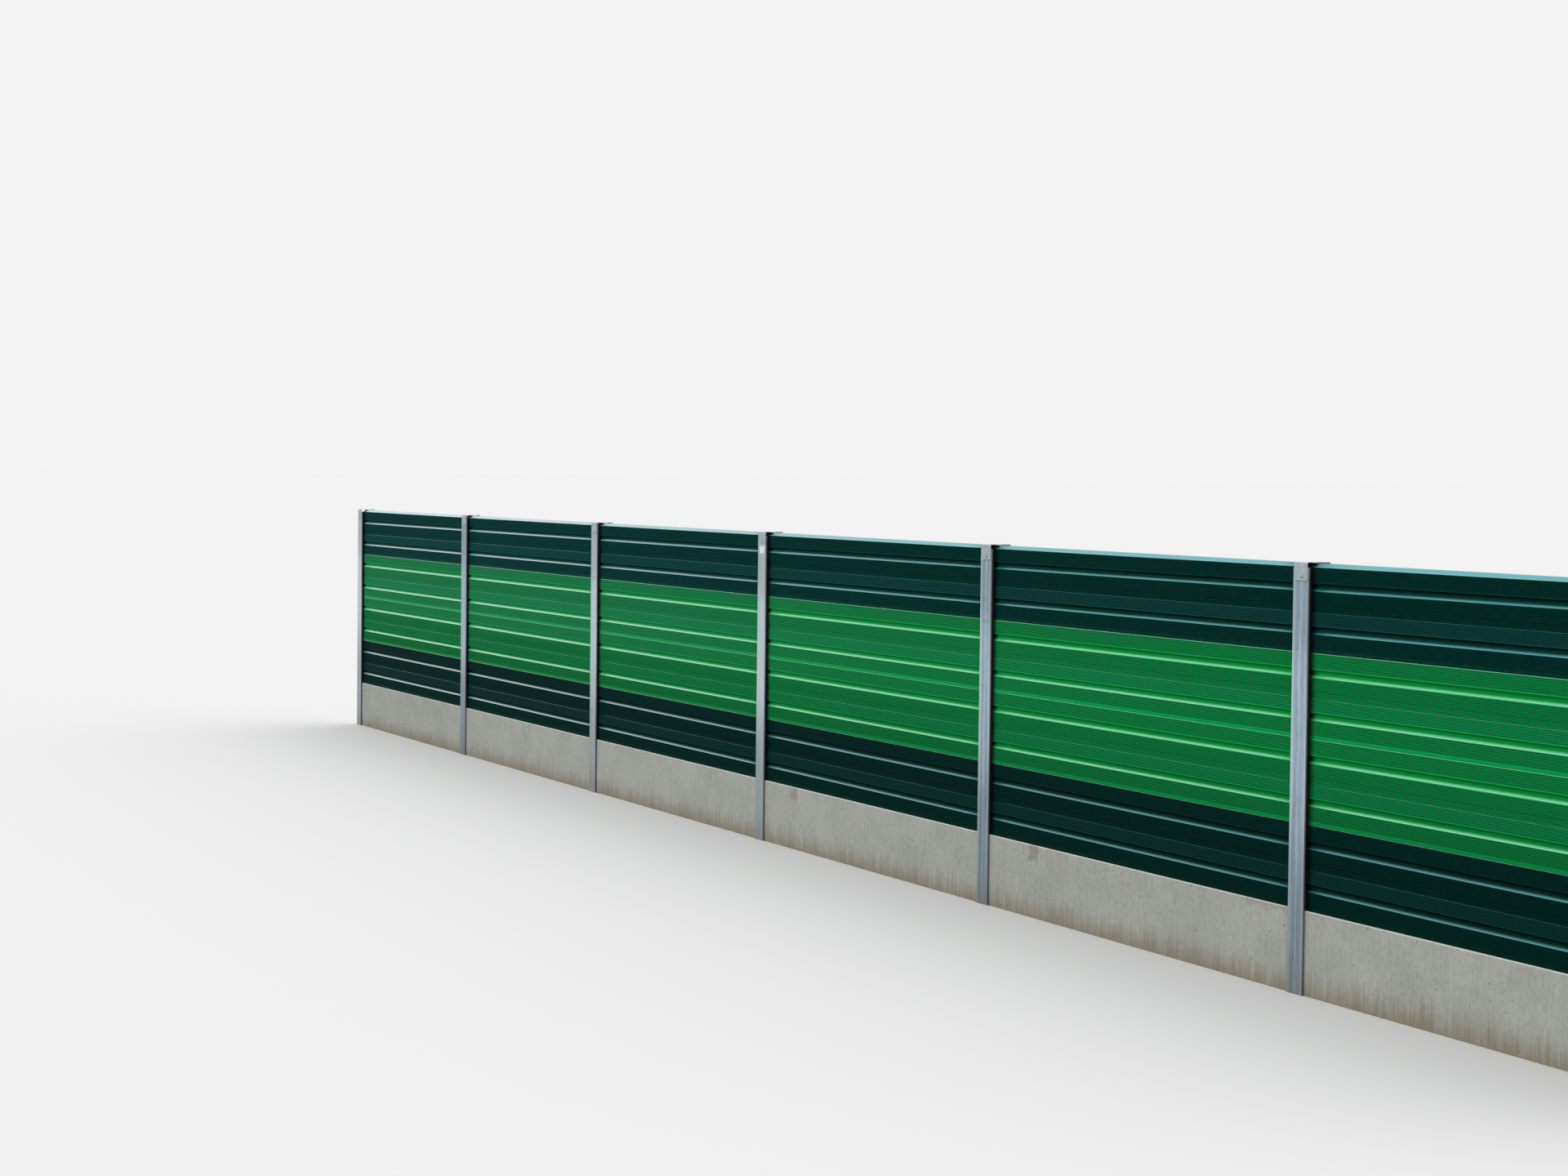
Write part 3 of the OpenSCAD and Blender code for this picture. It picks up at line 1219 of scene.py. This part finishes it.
@dataclass
class Cassettes:
    """The coats of the cassettes' CAD nodes."""

    grid: WallGrid
    bright: CassettePaint
    dark: CassettePaint

    def dress(self) -> None:
        """Coat every cassette."""
        coats = {True: self.dark.material(self.grid), False: self.bright.material(self.grid)}
        for bay in self.grid.bays:
            for row in Row:
                coat(f"cassette_{bay}_{row.value}", coats[row.is_dark])


@dataclass
class Posts:
    """The zinc of the posts' and caps' CAD nodes."""

    grid: WallGrid
    streaky: HotDipZinc
    even: HotDipZinc
    mended: HotDipZinc
    cap: bpy.types.Material
    even_posts: tuple[int, ...] = (1, 3)
    mended_post: int = 4

    def dress(self) -> None:
        """Give every post its zinc and every cap its own."""
        zinc = dict.fromkeys(self.grid.posts, self.streaky.material(self.grid))
        zinc.update(dict.fromkeys(self.even_posts, self.even.material(self.grid)))
        zinc[self.mended_post] = self.mended.material(self.grid)
        for number, finish in zinc.items():
            coat(f"post_{number}", finish)
            coat(f"post_cap_{number}", self.cap)


@dataclass
class Plinths:
    """The concrete of the plinths' CAD nodes."""

    grid: WallGrid
    finish: CastConcrete

    def dress(self) -> None:
        """Give every plinth its concrete."""
        concrete = self.finish.material(self.grid)
        for bay in self.grid.bays:
            coat(f"plinth_{bay}", concrete)


@dataclass
class Studio:
    """An even pale dome of light that is brighter overhead, and a pale floor."""

    zenith: float = 2.25
    horizon: float = 0.75
    shown: float = 0.90
    floor_shown: float = 0.51
    floor_bounce: float = 0.35
    floor_half: float = 1500.0
    floor_z: float = -0.001

    @staticmethod
    def seen(tree: Tree) -> Field:
        """Say where a ray comes from the camera, from gloss or through glass.

        Args:
            tree: The tree that asks.

        Returns:
            1 for such a ray.
        """
        path = tree.add("ShaderNodeLightPath")
        glossy = path.also("Is Glossy Ray").most(path.also("Is Transmission Ray"))
        return path.also("Is Camera Ray").most(glossy)

    def light(self) -> None:
        """Make the dome, which shows as one pale tone."""
        tree = Tree(bpy.data.worlds.new("studio_dome"))
        shows = self.seen(tree)
        way = tree.add("ShaderNodeTexCoord", output="Generated")
        up = tree.add("ShaderNodeSeparateXYZ", inputs={"Vector": way}, output="Z").most(0.0)
        glow = self.horizon + up * (self.zenith - self.horizon)
        strength = glow * (1.0 - shows) + shows * self.shown
        back = tree.add("ShaderNodeBackground", inputs={"Color": WHITE, "Strength": strength})
        tree.add("ShaderNodeOutputWorld", inputs={"Surface": back})
        bpy.context.scene.world = tree.owner

    def floor(self) -> bpy.types.Object:
        """Lay the floor just under the posts' feet.

        Returns:
            The floor.
        """
        plane = start_piece(
            bpy.ops.mesh.primitive_plane_add,
            size=2 * self.floor_half,
            location=(0.0, 0.0, self.floor_z),
        )
        plane.name = "studio_floor"
        tree = Tree(bpy.data.materials.new("studio_floor"))
        shows = self.seen(tree)
        grey = shows * (self.floor_shown - self.floor_bounce) + self.floor_bounce
        colour = tree.add("ShaderNodeCombineColor", inputs={0: grey, 1: grey, 2: grey})
        matt = tree.add("ShaderNodeBsdfDiffuse", inputs={"Color": colour})
        tree.add("ShaderNodeOutputMaterial", inputs={"Surface": matt})
        plane.data.materials.append(tree.owner)
        return plane


@dataclass
class Viewpoint:
    """The camera, where the photograph was taken from."""

    place: tuple[float, float, float] = (23.4214, -10.0571, 3.0117)
    heading: float = 66.506
    pitch: float = 2.126
    roll: float = 0.645
    lens: float = 71.58
    sensor: float = 36.0
    nearest: float = 0.1
    farthest: float = 4000.0

    def build(self) -> bpy.types.Object:
        """Make the camera and hand it to the scene.

        Returns:
            The camera.
        """
        data = bpy.data.cameras.new("viewpoint")
        data.sensor_width = self.sensor
        data.sensor_fit = "HORIZONTAL"
        data.lens = self.lens
        data.clip_start = self.nearest
        data.clip_end = self.farthest
        camera = bpy.data.objects.new("viewpoint", data)
        camera.matrix_world = (
            Matrix.Translation(self.place)
            @ Matrix.Rotation(math.radians(self.heading), 4, "Z")
            @ Matrix.Rotation(math.radians(90.0 - self.pitch), 4, "X")
            @ Matrix.Rotation(math.radians(self.roll), 4, "Z")
        )
        bpy.context.scene.collection.objects.link(camera)
        bpy.context.scene.camera = camera
        return camera


def coat(node: str, material: bpy.types.Material) -> None:
    """Give a CAD node one material.

    Args:
        node: The node's name.
        material: Its finish.
    """
    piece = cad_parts[node]
    for slot in piece.material_slots:
        slot.material = material
    LOG.info("%s is dressed in %s", node, material.name)


def hand_over(pieces: Sequence[bpy.types.Object], node: str | None = None) -> None:
    """Tell the frame about new pieces.

    Args:
        pieces: The pieces.
        node: The CAD node that they stand for, if any.
    """
    for piece in pieces:
        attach(piece, ROOT)
        if node is not None:
            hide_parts(node)
        LOG.info("%s: %d faces", piece.name, len(piece.data.polygons))


# Near-black colour of the painted shade beside the posts' seals.
POST_SHADE = tint(5, 10, 10)
SOIL = tint(124, 111, 86)
BRIGHT_GREEN = CassettePaint(
    name="bright_green_coat",
    face=tint(13, 141, 70),
    low_band=tint(3, 145, 69),
    slope=tint(7, 138, 62),
    lip_highlight=tint(120, 215, 167),
    floor=tint(5, 144, 60),
    roof_shade=tint(1, 130, 44),
    hole=tint(10, 60, 34),
    film=tint(225, 238, 230),
    sheen_and_dust_share=0.40,
    lean_light=tint(40, 172, 168),
    lean_light_share=0.055,
    bloom=tint(95, 180, 165),
    far_sheen_share=0.065,
    lip_curve=0.95,
)
DARK_GREEN = CassettePaint(
    name="dark_green_coat",
    face=tint(1, 48, 42),
    low_band=tint(0, 46, 38),
    slope=tint(2, 52, 47),
    lip_highlight=tint(54, 155, 160),
    floor=tint(1, 46, 41),
    roof_shade=tint(0, 30, 25),
    hole=tint(3, 30, 28),
    film=tint(215, 228, 230),
    sheen_and_dust_share=0.68,
    lean_light=tint(70, 150, 152),
    lean_light_share=0.08,
    bloom=tint(0, 133, 134),
    far_sheen_share=0.062,
    lip_curve=1.4,
)
BLUISH = tint(92, 106, 122)
CHALKY = tint(176, 188, 198)
STREAKY_ZINC = HotDipZinc(
    name="streaky_hot_dip_zinc",
    light=tint(188, 206, 219),
    dark=tint(108, 130, 146),
    left_rim=tint(170, 194, 196),
    right_rim=tint(174, 183, 192),
    marks=(
        Patch(3.958, 4.052, 2.006, 2.014, 0.30, CHALKY, 0.004),
        Patch(3.960, 3.998, 1.973, 2.002, 0.34, BLUISH, 0.006),
        Patch(4.006, 4.048, 1.973, 2.002, 0.30, BLUISH, 0.006),
        Patch(3.958, 4.052, 1.964, 1.972, 0.24, CHALKY, 0.004),
        Patch(7.953, 7.986, 2.010, 2.030, 0.35, BLUISH, 0.003),
    ),
)
EVEN_ZINC = HotDipZinc(
    name="even_hot_dip_zinc",
    light=tint(199, 212, 219),
    dark=tint(161, 177, 185),
    left_rim=tint(165, 194, 190),
    right_rim=tint(176, 186, 191),
    streaks=0.4,
    marks=(Patch(-4.030, -3.980, 1.997, 2.017, 0.30, BLUISH, 0.003),),
)
MENDED_ZINC = replace(
    EVEN_ZINC, name="mended_hot_dip_zinc", streaks=0.15, smear=RepairSmear(), marks=()
)
CAP_ZINC = CapZinc(
    name="weathered_cap_zinc",
    light=tint(172, 186, 189),
    dark=tint(142, 157, 161),
    fold_highlight=tint(188, 192, 196),
    crease_shade=tint(98, 108, 114),
    fold_z=2.526,
    foot_z=2.420,
)
CONCRETE = CastConcrete(
    name="precast_concrete",
    light=tint(180, 181, 175),
    dark=tint(138, 140, 134),
    edge=tint(204, 205, 198),
    pore=tint(84, 84, 78),
    soil=SOIL,
    stains=(
        Patch(4.66, 4.79, 0.39, 0.56, 0.55, SOIL, 0.014),
        Patch(0.60, 0.72, 0.40, 0.48, 0.45, SOIL, 0.014),
        Patch(7.40, 7.99, 0.465, 0.56, 0.25, SOIL, 0.014),
    ),
    top_z=0.495,
)
RUBBER = DustyRubber(name="black_rubber", rubber=tint(13, 14, 15), dust=tint(96, 94, 88))


def main() -> None:
    """Dress the CAD nodes, add the fine pieces, and set the light and the camera."""
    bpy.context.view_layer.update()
    bpy.context.scene.view_settings.view_transform = "Standard"
    grid = WallGrid.from_nodes()
    LOG.info("grid: %s", grid)

    cap_zinc = CAP_ZINC.material()
    Plinths(grid, CONCRETE).dress()
    Cassettes(grid, BRIGHT_GREEN, DARK_GREEN).dress()
    Posts(grid, STREAKY_ZINC, EVEN_ZINC, MENDED_ZINC, cap_zinc).dress()
    hand_over(UprightSeals(grid, RUBBER).build(), "seals")
    hand_over(BaseSeals(grid, RUBBER).build(), "seals")
    hand_over(CapScrews(grid, cap_zinc, RUBBER.material()).build())

    studio = Studio()
    studio.light()
    studio.floor()
    Viewpoint().build()


if __name__ == "__main__":
    logging.basicConfig(level=logging.INFO, format="%(message)s")
    main()
